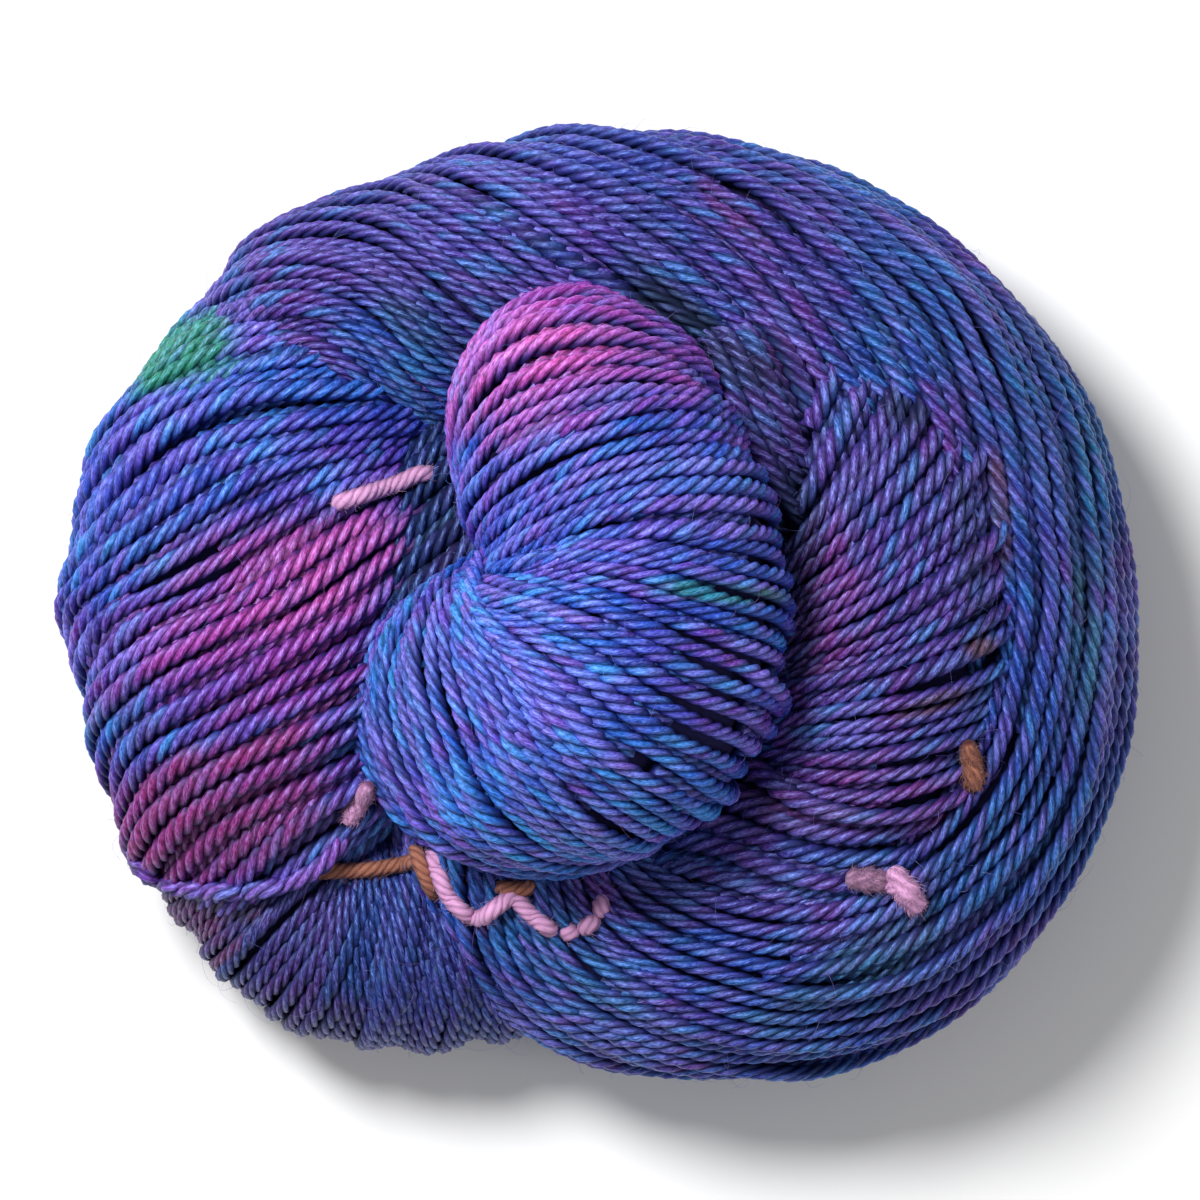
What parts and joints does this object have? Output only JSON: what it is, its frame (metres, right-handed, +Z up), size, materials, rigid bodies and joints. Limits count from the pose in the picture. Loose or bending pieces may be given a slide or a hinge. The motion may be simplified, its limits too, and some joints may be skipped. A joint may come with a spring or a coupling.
{
  "type": "skein of knitting yarn",
  "caption": "Twisted and coiled skein of variegated hand-dyed knitting yarn, held by thin cotton ties, lying on its side ready to be wound and knitted.",
  "frame": {"origin": "on the surface it lies on, under the middle of the skein's outline", "axes": "+Z up, away from the surface, the skein's shortest way; +X along its longest way, to the right of the picture; +Y to the top of the picture"},
  "size_m": [0.1372, 0.1206, 0.0631],
  "materials": {
    "yarn": "silky plied wool, hand-dyed in blues, violets and magentas with traces of green and rust",
    "cotton_pink": "matte pale pink twisted cotton",
    "cotton_brown": "matte reddish-brown twisted cotton"
  },
  "bodies": {
    "root": {"skein": "yarn", "tie_pink": "cotton_pink", "tie_brown": "cotton_brown"}
  },
  "joints": []
}
